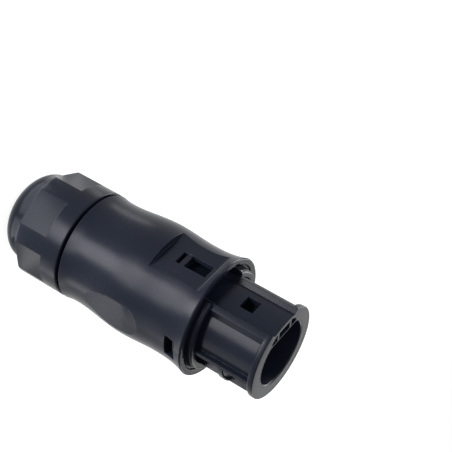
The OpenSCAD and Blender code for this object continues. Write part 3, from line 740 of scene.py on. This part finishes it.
shell_nylon = moulded("shell_nylon", (0.0054, 0.0071, 0.0122))
nut_nylon = moulded("nut_nylon", (0.0054, 0.0071, 0.0122))
nose_nylon = moulded("nose_nylon", (0.0048, 0.0065, 0.0112), rough=0.24)
block_nylon = moulded("block_nylon", (0.0070, 0.0095, 0.0165), rough=0.4, edge=0.15)
cage_nylon = moulded("cage_nylon", (0.020, 0.021, 0.025), rough=0.45, edge=0.15)
rubber = moulded("seal_rubber", (0.008, 0.008, 0.0085), rough=0.62, grain=0.4, edge=0.1, wear_and_sheen=0.2)


# %% Dress the new pieces
def dress(piece, finish, body, slot, *replaced):
    """Gives a new piece its finish and its body, and hides the CAD nodes it stands for. The slot is
    not used.
    """
    piece.data.materials.clear()
    piece.data.materials.append(finish)
    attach(piece, body)
    if replaced:
        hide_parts(*replaced)
    print(piece.name, "rides on", body)


dress(shell, shell_nylon, "housing", "shell_plastic", "shell")
dress(thread, shell_nylon, "housing", "shell_plastic")
dress(nut, nut_nylon, "nut", "nut_plastic", "cap_nut")
dress(carrier, nose_nylon, "housing", "carrier_plastic", "contact_carrier")

# %% [markdown]
# ## Metal
# The contacts are turned from copper alloy and plated, the screws are zinc-plated steel. Real
# plating is never even, so noise moves the brightness and the gloss a little, and a very fine
# bump breaks up the reflection as turning marks do.

# %% Plated metal
def plated(name, colour, rough, spread=0.06):
    """Turned and plated metal, its gloss varied by a spread either way."""
    skin = Finish(name)
    cloud = skin.noise(700, 3)
    fine = skin.noise(9000, 1)
    shade = skin.node("ShaderNodeHueSaturation", Color=(*colour, 1), Value=0.9 + 0.2 * cloud)
    bump = skin.node("ShaderNodeBump", Height=fine, Strength=0.15, Distance=0.01 * MM)
    return skin.feed(Base_Color=shade, Metallic=1.0, Roughness=rough - spread + 2 * spread * cloud,
                     Normal=bump)


champagne = plated("contact_plating", (0.86, 0.80, 0.69), 0.24)
steel = plated("screw_steel", (0.60, 0.61, 0.63), 0.3)
spring = plated("spring_steel", (0.52, 0.53, 0.55), 0.25)
leaf_metal = plated("leaf_brass", (0.70, 0.58, 0.36), 0.32)

# %% Finishes of the CAD nodes that stay
finishes = {"terminal_block": block_nylon, "wire_guide": cage_nylon, "clamp_cage": cage_nylon,
            "cable_seal": rubber, "core_seal": rubber}
for pole in ("line", "neutral", "earth"):
    finishes["contact_" + pole] = champagne
    finishes["collar_" + pole] = spring
    finishes["leaf_" + pole] = leaf_metal
    finishes["screw_" + pole] = steel
for node, finish in finishes.items():
    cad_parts[node].data.materials.clear()
    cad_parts[node].data.materials.append(finish)
print("repainted CAD nodes:", len(finishes))

# %% [markdown]
# ## Floor and surroundings
# A product shot on white. The floor's own colour and a glow, for camera, glossy and transmitted
# rays only, make it white without adding light to the part. A plain pale world fills the
# shadows.

# %% Floor
GLOW = 0.92
bpy.ops.mesh.primitive_circle_add(vertices=96, radius=2.5, fill_type="NGON")
floor = new_piece("floor")
paper = Finish("paper")
seen = sum(paper.node("ShaderNodeLightPath", output=kind)
           for kind in ("Is Camera Ray", "Is Glossy Ray", "Is Transmission Ray"))
floor.data.materials.append(paper.feed(
    Base_Color=(0.2, 0.2, 0.2, 1), Roughness=0.9, Specular_IOR_Level=0.0,
    Emission_Color=(1, 1, 1, 1), Emission_Strength=seen * GLOW))
print("floor:", round(floor.dimensions.x, 1), "m across")

# %% World
WORLD_LIGHT = 0.33
world = bpy.data.worlds.new("studio")
bpy.context.scene.world = world
world.use_nodes = True
sky = world.node_tree.nodes["Background"]
sky.inputs["Color"].default_value = (1, 1, 1, 1)
sky.inputs["Strength"].default_value = WORLD_LIGHT
print("world light:", WORLD_LIGHT)

# %% [markdown]
# ## Lamps
# Dark satin nylon shows little colour of its own: what the eye reads is the reflection of the
# lamps. Big soft ones behind, beside and above light the end faces. An upright wall seen from
# above mirrors the floor beside it, so long low lamps lie there and draw the streaks along the
# shell and the sleeve. The camera doesn't see any of them.

# %% Soft lamps around the part
LAMP_GAIN = 1.12
LAMP_DISTANCE = 0.6


def area_lamp(name, place, turn, size, power):
    bpy.ops.object.light_add(type="AREA", location=place, rotation=turn)
    lamp = bpy.context.active_object
    lamp.name = name
    lamp.data.shape = "RECTANGLE"
    lamp.data.size, lamp.data.size_y = size
    lamp.data.energy = LAMP_GAIN * power
    lamp.visible_camera = False


def softbox(name, azimuth, elevation, size, power):
    """A lamp seen from the part's middle at an angle from +X and a height, in degrees."""
    a, e = math.radians(azimuth), math.radians(elevation)
    away = Vector((math.cos(a) * math.cos(e), math.sin(a) * math.cos(e), math.sin(e)))
    area_lamp(name, MIDDLE + away * LAMP_DISTANCE, away.to_track_quat("Z", "Y").to_euler(),
              size, power)


softbox("rear_side_lamp", -167, 12, (0.30, 0.22), 4.0)
softbox("front_face_lamp", 126, 27, (0.25, 0.25), 0.22)
softbox("back_lamp", 95, 25, (0.25, 0.25), 0.7)
softbox("back_side_lamp", 155, 25, (0.25, 0.25), 1.1)
softbox("side_lamp", -150, 48, (0.25, 0.25), 0.9)
softbox("edge_lamp", -48, 45, (0.5, 0.16), 1.2)
softbox("top_lamp", -90, 85, (0.4, 0.4), 0.45)


# %% Low lamps that draw the streaks
def floor_strip(name, azimuth, near, far, width, power):
    """A lamp lying on the floor, shining up, between two distances from the axis in mm."""
    a, middle = math.radians(azimuth), (near + far) / 2 * MM
    area_lamp(name, (math.cos(a) * middle, math.sin(a) * middle, MM), (math.pi, 0, a),
              ((far - near) * MM, width * MM), power)


floor_strip("nose_streak", -40, 130, 250, 110, 0.50)
floor_strip("nose_streak_core", -51, 130, 250, 50, 0.42)
floor_strip("shell_streak", -44, 80, 130, 65, 0.105)
floor_strip("pad_side_streak", -66, 110, 180, 32, 0.030)
floor_strip("rear_shell_streak", -44, 50, 80, 30, 0.046)
floor_strip("nut_flat_glow", -50, 28, 50, 22, 0.0125)
floor_strip("left_shell_glow", -146, 50, 80, 16, 0.0040)
floor_strip("left_nut_glow", -150, 28, 50, 12, 0.0007)
floor_strip("right_nose_glow", 28, 130, 250, 90, 0.045)
floor_strip("right_waist_glow", 46, 80, 130, 30, 0.0100)
floor_strip("right_shell_glow", 34, 50, 80, 16, 0.0055)
floor_strip("right_nut_glow", 24, 28, 50, 20, 0.0030)
floor_strip("dome_glow", -75, 16, 28, 24, 0.0050)
floor_strip("left_dome_glow", -130, 16, 28, 12, 0.0013)
floor_strip("right_dome_glow", -14, 16, 28, 12, 0.0025)

# %% [markdown]
# ## Finish
# The plain Standard view keeps colours as they were written.

# %% Finish
bpy.context.scene.view_settings.view_transform = "Standard"
